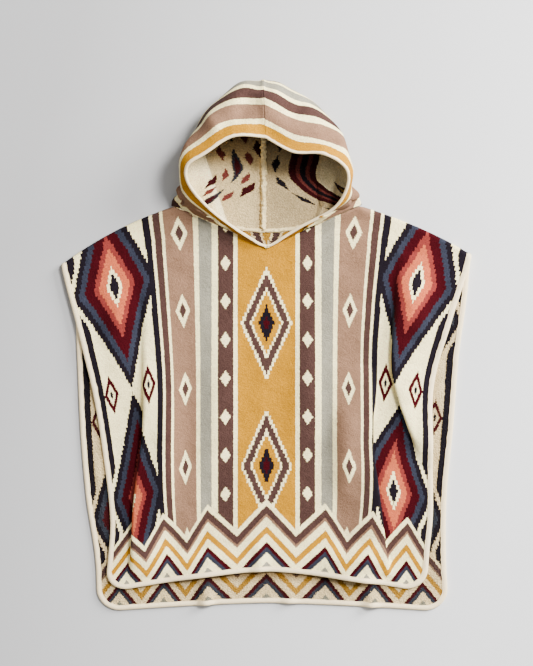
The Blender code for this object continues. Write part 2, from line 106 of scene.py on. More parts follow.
Fold = namedtuple("Fold", "down start hidden")     # cloth hidden at a level, from a place across
LEFT_FOLD = table(Fold, (100, 182, 0), (200, 183, 2), (270, 184, 6), (325, 187, 14), (365, 193, 21),
    (410, 199, 25), (450, 203, 23), (490, 204, 13), (525, 203, 4), (552, 202, 0))
RIGHT_FOLD = table(Fold, (240, 158, 0), (290, 159, 4), (335, 160, 14), (380, 163, 22), (410, 168, 23.5),
    (440, 172, 21.5), (473, 176, 16), (505, 178.5, 9.5), (536, 181, 3), (552, 182, 0))
RIGHT_CREASE = table(Fold, (60, 196, 0), (140, 192, 4), (200, 191, 11), (250, 199, 19), (290, 213, 17),
    (320, 226, 10), (350, 240, 2), (370, 242, 0), (566, 228, 0))
FOLDS = {-1: ((LEFT_FOLD, 1),), 1: ((RIGHT_FOLD, 1), (RIGHT_CREASE, -1))}
FLATTEST = math.radians(166)      # the most that a fold's arcs turn
ARC = 0.0030 * FLATTEST           # cloth in each of a fold's two arcs
RUN = 0.0010                      # and between them
RAMP = 0.070                      # cloth over which a fold rises to its lip

Roll = namedtuple("Roll", "across_0 down_0 across_1 down_1 half height")
ROLL_ENDS = 2.5           # a roll rises and falls over its length's share of 1 in this
ROLLS = table(Roll, (-215, 100, -245, 240, 26, 6.5), (-150, 260, -160, 500, 20, 10),
    (-105, 520, -100, 600, 45, 11), (125, 270, 118, 470, 20, 10), (135, 500, 150, 600, 55, 15),
    (225, 80, 240, 200, 24, 6.5), (-60, 160, -85, 440, 28, 6), (70, 130, 60, 420, 26, 6),
    (10, 540, 12, 600, 40, 3), (-14, 490, -6, 620, 11, 5))
BACK_ROLLS = table(Roll, (-92, 552, -96, 670, 9.5, 8.5), (36, 570, 34, 670, 11, 4.5),
    (160, 552, 164, 670, 10, 8))
HOOD_ROLLS = table(Roll, (-14, 384, -46, 330, 13, -8.5), (16, 390, -10, 326, 12, 6),
    (74, 382, 22, 330, 12, -10.5), (102, 354, 60, 318, 11, 5.5), (-104, 350, -66, 318, 13, 6.5))
Bulge = namedtuple("Bulge", "x y size out_x out_y")
BULGES = table(Bulge, (72, 376, 32, 6, 12), (-42, 398, 30, -3, 7), (26, 404, 30, 0, 6),
    (-118, 332, 34, 9.5, -4))
CROWN_X = -0.0058         # the ridge over the crown seam
CROWN_SINK = 0.0058       # how far it sinks
CROWN_SOFT = 0.018        # and how wide it does

Rib = namedtuple("Rib", "rim fore side under floor")
LEFT_RIBS = table(Rib, ((50, 180, 26), (98, 201, 23), (144, 222, 11), (116, 213, 1.2), (60, 208, 1.2)),
    ((90, 211, 48), (121, 221, 41), (137, 230, 19), (106, 236, 1.2), (55, 241, 1.2)),
    ((117, 244, 69), (131, 250, 49), (119, 257, 17), (90, 266, 1.2), (46, 276, 1.2)),
    ((117.5, 269, 82), (131, 285, 61), (115, 294, 20), (85, 306, 1.2), (42, 322, 1.2)),
    ((93, 285.5, 88), (114, 321, 69), (108, 345, 34), (76, 361, 6), (38, 378, 3)),
    ((50, 310.5, 92), (62, 346, 85), (58, 372, 66), (40, 391, 46), (18, 400, 36)),
    ((2, 310.5, 89), (3, 342, 89), (4, 368, 84), (5, 391, 73), (5, 400, 64)))
RIGHT_RIBS = table(Rib, ((47, 178, 22), (97, 203, 20), (143, 223, 11), (116, 217, 1.2), (56, 209, 1.2)),
    ((100, 206, 43), (125, 222, 37), (135, 236, 18), (103, 239, 1.2), (50, 243, 1.2)),
    ((121, 238, 65), (130, 247, 46), (117, 257, 16), (88, 266, 1.2), (40, 276, 1.2)),
    ((118, 266, 79), (127, 275, 58), (112, 292, 19), (82, 305, 1.2), (36, 322, 1.2)),
    ((84, 286, 81), (109, 311, 65), (103, 335, 34), (68, 357, 6), (30, 376, 3)),
    ((40, 289, 77), (50, 322, 80), (46, 355, 67), (30, 384, 47), (10, 398, 36)),
    ((-2, 310.5, 89), (-3, 342, 89), (-4, 368, 84), (-5, 391, 73), (-5, 400, 64)))
Seam = namedtuple("Seam", "x y z")
SEAM = table(Seam, (-7, 205, 1.2), (-7, 240, 1.2), (-7, 286, 1.2), (-7, 338, 1.2), (-6, 389, 8),
    (-6, 403.5, 33), (-5, 404.5, 52))
FRONT_POINT = Vector((0.0, 0.1490, 0.0078))
RIM_ROUND = 0.0045        # how far the rim's tape rounds off the point over the neck
RIM_FREE = 0.010          # and how far above the point it follows the cloth again
RIM_DOWN = Vector((0.0, -0.0085, -0.0070))    # from the edge of the tape to its seam at the point
POINT_STEPS = 8           # places of the tape on each side of the point
STATIONS = (0.0, 0.25, 0.5, 0.667, 0.833, 1.0)    # share of a rib at each of its points
NECK_TURN = (0.0040, 0.0024, 0.0058)      # past the neck point, where the hood's edge turns
NECK_EDGE = 0.0019        # from a panel's neckline to the hood's neck edge
NECK_ROLL = 0.0065        # rise of that edge towards the neck point
NECK_SHARE = 5 / 12       # of a rib that lies along one panel's neckline
RIB_STEPS = 12
RIB_ROWS = 20             # rows of places from one rib to the next
RIB_FINE = 9              # places from one step of a rib to the next
SEAM_ROWS = slice(4, 122)     # rows where the turned-in edges show inside the seam
NECK_PLACES = 70          # and the place of a row beyond which they show along the neck
GATHER = 0.0036           # height of the small folds where the hood meets the neck
CRUMPLE = 0.0140          # and of the uneven ones beside the neck points
CRUMPLE_SCALE = 66
GATHER_LENGTH = 0.0088    # from one small fold to the next
PULL = 0.0065             # how far pulls of the cloth shift its stripes
PULL_SCALE = (17, 11)     # along and away from the rim
CROWN_LEVEL = 0.050       # the crown's folds come in above this height
NEXT_CROWN = 16           # rows by the crown seam that are left even
UNEVEN = 0.0030           # how far the hood's free cloth lies off its curve
UNEVEN_SCALE = 26         # and how often to a metre, as the other scales are
WallPlace = namedtuple("WallPlace", "y x")
# where the hood's walls fold onto its floor, from hem to crown
WALL_FOLD = {
    -1: table(WallPlace, (175, 56), (183, 59), (210, 72), (235, 80), (262, 86), (280, 92), (310, 101),
              (340, 104)),
    1: table(WallPlace, (185, 60), (200, 80), (216, 86), (240, 82), (262, 80), (290, 84), (320, 82),
             (340, 78))}
WALL_RISE = {-1: 0.0080, 1: 0.0120}       # how high the wall's cloth stands beside that fold
WALL_END = 0.328          # the walls' folds fade out below the crown
WALL_DEEP = 0.040         # how far they lie from the rim at least, and reach out from the fold
WALL_ROLLS = table(Roll, (110, 272, 92, 206, 4.8, 10))


# ------------------------ curves
def ease(value):
    value = np.clip(value, 0.0, 1.0)
    return value * value * (3 - 2 * value)


def grown(value, start, run):
    """How far a value has come, smoothly from 0 to 1, on a run that begins at start."""
    return float(ease((value - start) / run))


def faded(value, end, run):
    """How much is left, smoothly from 1 to 0, on a run that stops at end."""
    return float(ease((end - value) / run))


def spline(before, start, end, after, share):
    """A smooth curve from start to end that heads for its neighbours."""
    out = (end - before) / 2
    into = (after - start) / 2
    square = share * share
    cube = square * share
    return (start * (2 * cube - 3 * square + 1) + out * (cube - 2 * square + share)
            + end * (3 * square - 2 * cube) + into * (cube - square))


def read(rows, column, down):
    """The value of a table's column at a level, on a smooth curve between its rows."""
    values = [getattr(row, column) for row in rows]
    if down <= rows[0].down:
        return values[0]
    for index in range(1, len(rows)):
        if down <= rows[index].down:
            share = (down - rows[index - 1].down) / (rows[index].down - rows[index - 1].down)
            before = values[max(index - 2, 0)]
            after = values[min(index + 1, len(values) - 1)]
            return spline(before, values[index - 1], values[index], after, share)
    return values[-1]


def smooth_rows(rows, steps):
    """Rows with others set between them, on smooth curves through their places."""
    fine = []
    for index in range(len(rows) - 1):
        four = (rows[max(index - 1, 0)], rows[index], rows[index + 1], rows[min(index + 2, len(rows) - 1)])
        for step in range(steps):
            fine.append([spline(*places, step / steps) for places in zip(*four)])
    fine.append([place.copy() for place in rows[-1]])
    return fine


def turned(rows):
    return [list(row) for row in zip(*rows)]


def lengths(points):
    """How far along its line each point lies."""
    total, found = 0.0, [0.0]
    for start, end in zip(points, points[1:]):
        total += (end - start).length
        found.append(total)
    return found


def headings(points):
    """The direction of a line at each of its points."""
    return [(end - start).normalized() for start, end in
            zip([points[0]] + points[:-1], points[1:] + [points[-1]])]


# ------------------------ panels
def taken(turn):
    """Cloth that a fold hides when its two arcs turn so far."""
    return 2 * ARC * (1 - math.sin(turn) / turn) + RUN * (1 - math.cos(turn))


def fold_turn(hidden):
    """A fold's turn and straight run where it hides so much cloth."""
    spare = hidden - taken(FLATTEST)
    if spare >= 0:
        return FLATTEST, RUN + spare / (1 - math.cos(FLATTEST))
    low, high = 1e-3, FLATTEST
    for _ in range(24):
        turn = (low + high) / 2
        if taken(turn) < hidden:
            low = turn
        else:
            high = turn
    return low, RUN


class Half:
    """One side of a panel: its reach, drop and folds at closely set levels."""

    levels = np.arange(0.0, 0.6201, 0.001)

    def __init__(self, panel, side):
        self.panel, self.side, self.length = panel, side, LENGTH[panel]
        self.reach = self.column(SIDES[panel, side], "reach")
        self.drop = self.column(SIDES[panel, side], "drop")
        self.folds = []
        self.half = self.reach.copy()
        for fold, over in (FOLDS[side] if panel == "front" else ()):
            hidden = np.maximum(self.column(fold, "hidden"), 0.0)
            turn, run = np.array([fold_turn(value) for value in hidden]).T
            self.folds.append((self.column(fold, "start"), turn, run, hidden, over))
            self.half += hidden

    def column(self, rows, name):
        return np.array([read(rows, name, down) for down in self.levels])

    def at(self, values, down):
        return np.interp(down, self.levels, values)


HALVES = {key: Half(*key) for key in SIDES}


def lap(distance, turn, run):
    """Forward and upward shift at a distance into an S-fold that turns down and under."""
    radius = ARC / turn
    height = 2 * radius * (1 - np.cos(turn)) + run * np.sin(turn)
    first = np.clip(distance, 0, ARC) / radius
    straight = np.clip(distance - ARC, 0, run)
    second = turn - np.clip(distance - ARC - run, 0, ARC) / radius
    beyond = np.maximum(distance - 2 * ARC - run, 0)
    forward = (np.minimum(distance, 0) + radius * np.sin(first) + straight * np.cos(turn)
               + radius * (np.sin(turn) - np.sin(second)) + beyond)
    down = (radius * (1 - np.cos(first)) + straight * np.sin(turn)
            + radius * (np.cos(second) - np.cos(turn)))
    return forward, height * ease((distance + RAMP) / RAMP) - down


def roll_height(across, down, rolls=ROLLS):
    total = 0.0
    for roll in rolls:
        run_x, run_y = roll.across_1 - roll.across_0, roll.down_1 - roll.down_0
        to_x, to_y = across - roll.across_0, down - roll.down_0
        size = math.hypot(run_x, run_y)
        share = (to_x * run_x + to_y * run_y) / size ** 2
        off = (run_x * to_y - run_y * to_x) / size
        ends = ease(share * ROLL_ENDS) * ease((1 - share) * ROLL_ENDS)
        total = total + roll.height * np.exp(-(off / roll.half) ** 2) * ends
    return total


def inset(from_side, from_hem):
    """Distance from a panel's bound edge: its sides, hem and rounded corners."""
    straight = np.minimum(from_side, from_hem)
    rounded = CORNER - np.hypot(CORNER - from_side, CORNER - from_hem)
    return np.where((from_side < CORNER) & (from_hem < CORNER), rounded, straight)


def settle(half, across, down):
    """Places (x, y, z) of the middle of a panel's cloth, and how far it is bound there."""
    reach, drop, width = (half.at(values, down) for values in (half.reach, half.drop, half.half))
    from_side = width - across
    edge = inset(from_side, half.length - down)
    band = 1 - ease((edge - BAND) / STEP[half.panel])
    distance, height = across + 0.0, np.zeros_like(across)
    if half.panel == "front":
        for start, turn, run, hidden, over in half.folds:
            start, turn, run, hidden = (half.at(values, down) for values in (start, turn, run, hidden))
            length = 2 * ARC + run
            if over > 0:
                forward, up = lap(across - start, turn, run)
                distance += forward - (across - start)
            else:
                back, up = lap(start + length - across, turn, run)
                distance += length - hidden - back - (across - start)
            height += up
        under = HALVES["back", half.side]
        apart = under.at(under.half, down) - reach
        beside = 1 - ease((from_side - OVER_REACH) / CORNER)
        over = beside * ease(2 - (apart - STEP["back"]) / BAND)
        kept = BAND + STEP["front"]
        inside = half.side * (across - np.maximum(kept - from_side, 0.0))
        rolled = roll_height(inside, np.minimum(down, half.length - kept))
        settled = beside * ease(2 - (half.length - down) / CORNER)
        height += FRONT_MID + band * TAPE_LIFT + over * OVER_LIFT + rolled * (1 - settled)
    else:
        height += BACK_MID + band * TAPE_LIFT + roll_height(half.side * across, down, BACK_ROLLS)
    bend = 3.0 - 1.6 * np.clip(down / half.length, 0, 1)
    fall = drop * np.maximum(distance / reach, 0.0) ** bend
    return np.stack([half.side * distance, NECK_Y - down - fall + ORIGIN_Y, height], axis=-1), band


def top(panel, across):
    """Where a panel's cloth begins: its neckline and its shoulders."""
    share = np.minimum(across / NECK_HALF, 1)
    neck = NECK_DEPTH[panel] * (1 - share if panel == "front" else 1 - share ** 2)
    return neck + SHOULDER_FALL * np.maximum(across - NECK_HALF, 0) / (SHOULDER_HALF - NECK_HALF)


def half_width(half, down):
    """Half of a row's cloth, less what the rounded corner takes."""
    into = np.clip(down - half.length + CORNER, 0, CORNER)
    return half.at(half.half, down) - CORNER + np.sqrt(CORNER ** 2 - into ** 2)


# ------------------------ fine grids
ROWS = {"front": 180, "back": 120}
TOP_SHARE = 0.012         # of a panel's length that its top rows share, set closer
TOP_ROWS = 8
FIELD_COLUMNS = 52
FOLD_COLUMNS = 22
BETWEEN_COLUMNS = 6
EDGE_COLUMNS = 12
FOLD_MARGIN = 0.003       # of close columns beside a fold
LEAST_STRETCH = 0.004     # of cloth that a group of columns covers


def half_places(half):
    """Places (across, down) over half a panel, closer together in its folds and at its edge."""
    rows = np.concatenate([np.linspace(0, TOP_SHARE, TOP_ROWS + 1)[:-1],
                           np.linspace(TOP_SHARE, 1, ROWS[half.panel] + 1)])[:, None]
    counts = [FIELD_COLUMNS] + [FOLD_COLUMNS, BETWEEN_COLUMNS] * len(half.folds) + [EDGE_COLUMNS]
    owner = np.concatenate([[0]] + [[index] * count for index, count in enumerate(counts)])
    share = np.concatenate([[0.0]] + [np.arange(1, count + 1) / count for count in counts])
    down = np.repeat(rows * half.length, len(share), axis=1)
    owner = np.broadcast_to(owner, down.shape)[None]
    for _ in range(8):
        width = half_width(half, down)
        unbound = width - BAND - STEP[half.panel]
        stops = [0 * down]
        for start, _, run, _, _ in half.folds:
            start, run = half.at(start, down), half.at(run, down)
            stops += [start - FOLD_MARGIN, start + 2 * ARC + run + FOLD_MARGIN]
        spare = len(stops)
        for index in range(1, spare):
            stops[index] = np.minimum(stops[index], unbound - LEAST_STRETCH * (spare - index))
        stops = np.stack(stops + [unbound, width])
        begin, end = (np.take_along_axis(stops, which, 0)[0] for which in (owner, owner + 1))
        across = begin + (end - begin) * share
        start = top(half.panel, across)
        if half.panel == "back":
            start = start - NECK_TUCK * ease((NECK_HALF - across) / 0.010)
        down = start + rows * (half.length - start)
    return across, down


def shoulder(side):
    """Sizes across and places up the page of a shoulder's line, from the neck to its tip."""
    across = np.linspace(NECK_HALF, SHOULDER_HALF + 0.004, 40)
    spots, _ = settle(HALVES["front", side], across, top("front", across))
    return np.abs(spots[:, 0]), spots[:, 1]


SHOULDERS = {side: shoulder(side) for side in (-1, 1)}


def sewn_down(places):
    """Places of the front with its shoulders brought down over the back's, as their seam holds them."""
    places = np.array(places, dtype=float)
    out = np.abs(places[..., 0])
    line = np.where(places[..., 0] < 0, np.interp(out, *SHOULDERS[-1]), np.interp(out, *SHOULDERS[1]))
    inside = np.clip((line - places[..., 1]) / SHOULDER_ROLL, 0, 1)
    held = ease((out - SHOULDERS[1][0][0]) / 0.012)
    turn = 1 - np.sqrt(1 - (1 - inside) ** 2)
    places[..., 1] += SHOULDER_OVER * (1 - inside) * held
    places[..., 2] -= (places[..., 2] - SEAM_LEVEL) * turn * held
    return places


Wave = namedtuple("Wave", "size height seed")
WAVES = (Wave(0.055, 0.0012, 3.0), Wave(0.022, 0.0005, 9.0))
BACK_UNEVEN = 2.4         # times as much where the back lies free


def waves(places, size, height, seed):
    """Soft unevenness of laid cloth at each place."""
    return np.array([noise.noise(Vector((x / size, y / size, seed))) * height for x, y in places])


def panel_cloth(panel):
    """Rows of a panel's places, and the cut's own measures at each."""
    parts = []
    for side in (-1, 1):
        half = HALVES[panel, side]
        across, down = half_places(half)
        places, band = settle(half, across, down)
        width = half.at(half.half, down)
        stretched = (across - CUT_PLAIN) * (CUT_HALF - CUT_PLAIN) / (width - CUT_PLAIN)
        cut = np.where(across < CUT_PLAIN, across, CUT_PLAIN + stretched)
        flat = places.reshape(-1, 3)[:, :2]
        uneven = sum(waves(flat, wave.size, wave.height, side + wave.seed) for wave in WAVES)
        uneven = np.maximum(uneven.reshape(across.shape) + 0.0006, 0) * (1 - band)
        if panel == "back":
            over = HALVES["front", side]      # only what lies free of the front is uneven
            uneven *= BACK_UNEVEN * np.maximum(ease((across - over.at(over.reach, down) - 0.003) / 0.010),
                                       ease((down - over.length - 0.003) / 0.008))
        else:
            away = down - top(panel, across)
            uneven += (NECK_ROLL * ease(across / NECK_HALF / 0.95) * (1 - ease(away / NECK_PUFF))
                       * (1 - ease((across - NECK_HALF) / 0.030)))
        places[..., 2] += uneven
        if panel == "front":
            places = sewn_down(places)
        measures = np.stack([side * cut, down + LENGTH["front"] - half.length], axis=-1)
        if side < 0:
            places, measures = places[:, :0:-1], measures[:, :0:-1]
        parts.append((places, measures))
    return tuple(np.concatenate(pair, axis=1) for pair in zip(*parts))


# ------------------------ pieces
pieces = {}


def finish_piece(name, bm, materials, thickness=None, inside=0):
    """Make a mesh a piece of the scene, with a wall if it is a sheet."""
    mesh = bpy.data.meshes.new(name)
    bm.to_mesh(mesh)
    bm.free()
    for one in materials:
        mesh.materials.append(one)
    piece = bpy.data.objects.new(name, mesh)
    bpy.context.scene.collection.objects.link(piece)
    mesh.shade_smooth()
    if thickness:
        wall = piece.modifiers.new("wall", "SOLIDIFY")
        wall.thickness = thickness
        wall.offset = 0.0
        wall.use_even_offset = False
        wall.material_offset = inside
    pieces[name] = piece
    return piece


def sheet(name, places, measures, materials, thickness, inside=0, turn_over=False):
    """A sheet of cloth through rows of places, with the cut's measures as its map."""
    rows, across = len(places), len(places[0])
    bm = bmesh.new()
    bmesh.ops.create_grid(bm, x_segments=across - 1, y_segments=rows - 1, size=0.5)
    bm.verts.ensure_lookup_table()
    cut = bm.loops.layers.uv.new("cut")
    for index, vert in enumerate(bm.verts):
        vert.co = places[index // across][index % across]
        for loop in vert.link_loops:
            loop[cut].uv = measures[index // across][index % across]
    if turn_over:
        bmesh.ops.reverse_faces(bm, faces=bm.faces)
    return finish_piece(name, bm, materials, thickness, inside)


# ------------------------ bindings
Pleat = namedtuple("Pleat", "inward height")
# the face of the folded tape, from the edge that is sewn down to the fold
TAPE_SECTION = table(Pleat, (12.5, 1.65), (12.1, 1.95), (11.4, 1.9), (10.6, 1.6), (9.8, 1.9), (8, 2.25),
    (5, 2.4), (2.2, 2.15), (0.4, 1.65), (-0.6, 1), (-1, 0.35))
BINDING_SHOWS = 0.0068    # width of the folded tape on the panels
RIM_SHOWS = 0.0040        # and round the hood
UNDERSIDE = -1.10         # height of the tape's under side for its face's
PUCKER = 0.011            # from one pucker of a sewn edge to the next
FINE_PUCKER = 2.3         # finer ones to each of those
PUCKER_RISE = 0.22        # share of the tape's height that they raise it
PUCKER_SHIFT = 0.0009     # how far they shift its sewn edge
PANEL_DEPTH = 0.86        # how thick the folded tape stands on the panels, of its section
RIM_DEPTH = 0.74          # and round the hood
SEAM_RIDGE = 0.0075       # width of the turned-in edges at the hood's seam
SEAM_RIDGE_HEIGHT = 0.0072
NECK_RIDGE = 0.0055       # and along the neck
NECK_RIDGE_HEIGHT = 0.0024
RIDGE_SPACING = 0.0012
RIDGE_STEPS = 8
RIDGE_WALL = 0.0006
Rough = namedtuple("Rough", "rise scale spread seed")
RIDGE_ROUGH = (Rough(0.75, 260, 0.7, 0), Rough(0.30, 70, 0.3, 5))
STITCH = 0.0030           # from one stitch to the next
STITCH_INWARD = 0.0106    # from the edge to the stitches
STITCH_LIFT = 0.00205     # from the middle of the cloth to them
STITCH_SIZE = Vector((STITCH * 0.82, 0.00055, 0.00050))


def frames_along(edges, inners):
    """Directions along, into and off a cloth's edge, at each of its places."""
    found = []
    for edge, inner, run in zip(edges, inners, headings(edges)):
        inward = inner - edge
        inward = (inward - run * inward.dot(run)).normalized()
        found.append((run, inward, inward.cross(run).normalized()))
    return found


def tape_rows(edges, inners, width, seed, depth):
    """Rows of places over a folded tape, puckered along its stitches."""
    gone = lengths(edges)
    rows, measures = [], []
    section = TAPE_SECTION + tuple(Pleat(part.inward, part.height * UNDERSIDE) for part in TAPE_SECTION[::-1])
    for index, (_, inward, off) in enumerate(frames_along(edges, inners)):
        slack = noise.noise(Vector((gone[index] / PUCKER, seed, 0.0)))
        slack += 0.5 * noise.noise(Vector((gone[index] / PUCKER * FINE_PUCKER, seed, 4.0)))
        row = []
        for part in section:
            share = part.inward / TAPE_WIDTH
            lift = depth * part.height * (1 + PUCKER_RISE * slack * math.sin(math.pi * max(share, 0)))
            edge_slack = PUCKER_SHIFT * slack * max(share, 0)
            along = inners[index] - edges[index] if share > 0 else inward * TAPE_WIDTH
            place = edges[index] + along * (width / TAPE_WIDTH * share) + inward * edge_slack + off * lift
            place.z = max(place.z, FLOOR_LEVEL)
            row.append(place)
        rows.append(row)
        measures.append([(gone[index], reached) for reached in lengths(row)])
    return rows, measures


def cut_edge(panel, spacing=0.003):
    """Places (side, across, down) round a panel's bound edge from shoulder to shoulder, and inwards of it."""
    length = LENGTH[panel]
    outline = []
    for side in (-1, 1):
        half = HALVES[panel, side]
        levels = np.concatenate([np.arange(0, 0.0075, 0.00075),
                                 np.arange(0.0075, length - CORNER - SHOULDER_FALL, spacing)])
        spots = [(half.at(half.half, down), down, 0.0) for down in SHOULDER_FALL + levels]
        for angle in np.linspace(0, math.pi / 2, 16):
            down = length - CORNER + CORNER * math.sin(angle)
            spots.append((half.at(half.half, down) - CORNER + CORNER * math.cos(angle), down, angle))
        hem_half = half.at(half.half, length) - CORNER
        spots += [(across, length, math.pi / 2) for across in np.arange(hem_half - spacing, 0, -spacing)]
        outline.append([((side, across, down),
                         (side, across - TAPE_WIDTH * math.cos(angle), down - TAPE_WIDTH * math.sin(angle)))
                        for across, down, angle in spots])
    return outline[0] + outline[1][::-1]


def on_panel(panel, places):
    """Vectors of places (side, across, down) on a panel."""
    found = [None] * len(places)
    for side in (-1, 1):
        chosen = [index for index, place in enumerate(places) if place[0] == side]
        across = np.array([places[index][1] for index in chosen])
        down = np.array([places[index][2] for index in chosen])
        spots, _ = settle(HALVES[panel, side], across, down)
        for index, spot in zip(chosen, spots):
            found[index] = Vector(spot)
    return found


def panel_edges(panel):
    lines = [on_panel(panel, places) for places in zip(*cut_edge(panel))]
    if panel == "front":
        lines = [[Vector(place) for place in sewn_down(line)] for line in lines]
    return lines


def stitches(name, edges, inners, width):
    """A row of stitches along each side of a folded tape."""
    gone = lengths(edges)
    bm = bmesh.new()
    ways = frames_along(edges, inners)
    count = int(gone[-1] / STITCH)
    index = 0
    for step in range(1, count):
        at = step * STITCH
        while gone[index + 1] < at:
            index += 1
        share = (at - gone[index]) / (gone[index + 1] - gone[index])
        edge = edges[index].lerp(edges[index + 1], share)
        inner = inners[index].lerp(inners[index + 1], share)
        run, inward, off = ways[index]
        for face in (1, -1):
            made = bmesh.ops.create_icosphere(bm, subdivisions=1, radius=0.5)
            place = edge + (inner - edge) * (width / TAPE_WIDTH * STITCH_INWARD / TAPE_WIDTH)
            place += off * face * STITCH_LIFT
            for vert in made["verts"]:
                local = vert.co * STITCH_SIZE
                vert.co = place + run * local.x + inward * local.y + off * local.z
    finish_piece(name, bm, [thread])


# ------------------------ hood
def neck_row(side):
    """The hood's neck edge: along the front's neckline, round the neck point, along the back's."""
    row = []
    for step in range(RIB_STEPS + 1):
        share = step / RIB_STEPS
        if abs(share - 0.5) < 0.5 / RIB_STEPS:
            corner = on_panel("front", [(side, NECK_HALF, 0.0)])[0]
            row.append(Vector((corner.x + side * NECK_TURN[0], corner.y + NECK_TURN[1], NECK_TURN[2])))
            continue
        panel = "front" if share < 0.5 else "back"
        along = min(share, 1 - share) / NECK_SHARE
        across = side * NECK_HALF * 0.95 * along
        if panel == "back":
            across += SEAM[0].x * (1 - along) + side * GAP / 2 * (1 - along)
        elif along == 0:
            across = side * GAP / 2
        edge, beyond = on_panel(panel, [(1 if across > 0 else -1, out, float(top(panel, out)))
                                        for out in (abs(across), abs(across + side * 0.002))])
        run = (beyond - edge) * side
        out = Vector((-run.y, run.x, 0)).normalized() * NECK_EDGE
        rise = NECK_ROLL * float(ease(along)) + GAP if panel == "front" else 0.0
        if along == 0 and panel == "front":
            out = Vector((0, NECK_EDGE, 0))
        row.append(edge + out + Vector((0, 0, rise)))
    return row


def rib_row(side, rib, seam):
    """Places along a rib, on a smooth curve through its points."""
    ends = [Vector((side * part[0], part[1] + ORIGIN_Y, part[2])) for part in rib]
    ends.append(Vector((seam.x + side * GAP / 2, seam.y + ORIGIN_Y, seam.z)))
    row = []
    for step in range(RIB_STEPS + 1):
        share = step / RIB_STEPS
        index = max(i for i in range(len(STATIONS) - 1) if STATIONS[i] <= share + 1e-6)
        local = (share - STATIONS[index]) / (STATIONS[index + 1] - STATIONS[index])
        before = ends[max(index - 1, 0)]
        after = ends[min(index + 2, len(ends) - 1)]
        row.append(spline(before, ends[index], ends[index + 1], after, min(local, 1.0)))
    return row


def hood_rows(side):
    """Fine rows over the hood's half, and the cut's own measures at each place."""
    ribs = LEFT_RIBS if side < 0 else RIGHT_RIBS
    main = [neck_row(side)] + [rib_row(side, rib, seam) for rib, seam in zip(ribs, SEAM)]
    main[0][0] = FRONT_POINT + Vector((side * GAP / 2, ORIGIN_Y, 0))
    for place in main[-1]:
        place.x += side * GAP / 2
    rows = turned(smooth_rows(turned(smooth_rows(main, RIB_ROWS)), RIB_FINE))
    gone = [lengths(row) for row in rows]
    risen = turned([lengths(column) for column in turned(rows)])
    measures = [list(zip(*pair)) for pair in zip(risen, gone)]
    pulled = stripes_lie(rows, np.array(measures), side)
    for index, row in enumerate(rows):
        from_crown = float(ease((len(rows) - 1 - index) / NEXT_CROWN))
        for place, (along, distance) in zip(row, measures[index]):
            soften(place, side, distance, from_crown)
            gather(place, side, along, distance)
            fold_wall(place, side, distance)
            swell(place)
            place.z = max(place.z, BACK_MID + 0.0001)
    return rows, pulled


def soften(place, side, distance, from_crown):
    """The soft folds over the hood's crown, and its uneven cloth."""
    rolled = float(roll_height(place.x, place.y - ORIGIN_Y, HOOD_ROLLS))
    above = grown(place.z, CROWN_LEVEL, 0.020)
    free = grown(distance, RIM_WIDTH, 0.010) * grown(place.z, 0.004, 0.020) * from_crown
    place.z += above * rolled * grown(distance, 0, 0.020)
    for axis, seed in ((2, 0), (0, 7)):
        place[axis] += free * UNEVEN * noise.noise(place * UNEVEN_SCALE + Vector((side, seed, 0)))


def gather(place, side, along, distance):
    """The small folds where the hood meets the neck, and the uneven ones beside the neck points."""
    outer = grown(distance, RIM_WIDTH, 0.006) * faded(distance, 0.075, 0.020)
    even = grown(along, 0, 0.004) * faded(along, 0.034, 0.026) * grown(abs(place.x), 0.05, 0.04)
    place.z += outer * even * GATHER * (1 - math.cos(along / GATHER_LENGTH * 2 * math.pi)) / 2
    crumpled = faded(along, 0.062, 0.040) * grown(along, 0, 0.006) * grown(abs(place.x), 0.062, 0.030)
    shift = noise.noise_vector(place * CRUMPLE_SCALE + Vector((side, 3, 0)))
    place += outer * crumpled * CRUMPLE * Vector((shift.x, shift.y * 0.6, shift.z))


def fold_wall(place, side, distance):
    """The fold where a wall of the hood meets its floor, and the rolls on the wall."""
    beyond = abs(place.x) - float(np.interp(place.y - ORIGIN_Y, *zip(*WALL_FOLD[side])))
    wall = grown(beyond, -0.0015, 0.0030) * faded(beyond, WALL_DEEP, 0.034)
    inner = grown(distance, WALL_DEEP, 0.012) * faded(place.z, 0.050, 0.012) * faded(place.y, WALL_END, 0.035)
    place.z += wall * inner * WALL_RISE[side]
    place.z += inner * float(roll_height(place.x, place.y - ORIGIN_Y, WALL_ROLLS))


def stripes_lie(rows, measures, side):
    """The cut's measures as they show: pulled a little, and from the rim itself next to the neck."""
    places = np.array(rows)
    rim = places[:, 0]
    nearest = np.linalg.norm(places[:, :, None] - rim[None, None], axis=-1).min(axis=-1)
    along, distance = measures[..., 0], measures[..., 1]
    share = np.arange(places.shape[1]) / (places.shape[1] - 1)
    by_neck = ease((0.060 - along) / 0.040) * ease((0.62 - share) / 0.12)[None]
    distance = distance + (np.minimum(nearest * 1.1, distance) - distance) * by_neck
    pull = np.array([noise.noise(Vector((x * PULL_SCALE[0], y * PULL_SCALE[1], side)))
                     for x, y in zip(along.flat, distance.flat)])
    distance = distance + PULL * pull.reshape(along.shape) * np.minimum(distance / 0.03, 1)
    return np.stack([along, distance], axis=-1)


def swell(place):
    """Fill the crown out where the cloth stands rounder than its ribs, and soften its ridge."""
    ridge = math.exp(-((place.x - CROWN_X) / CROWN_SOFT) ** 2)
    place.z -= CROWN_SINK * ridge * grown(place.z, CROWN_LEVEL, 0.020)
    place.y -= CROWN_SINK * ridge * grown(place.y, 0.370, 0.030) * grown(place.z, 0.010, 0.020)
    for bulge in BULGES:
        off = math.hypot(place.x - bulge.x, place.y - ORIGIN_Y - bulge.y) / bulge.size
        share = math.exp(-off * off)
        place.x += bulge.out_x * share
        place.y += bulge.out_y * share


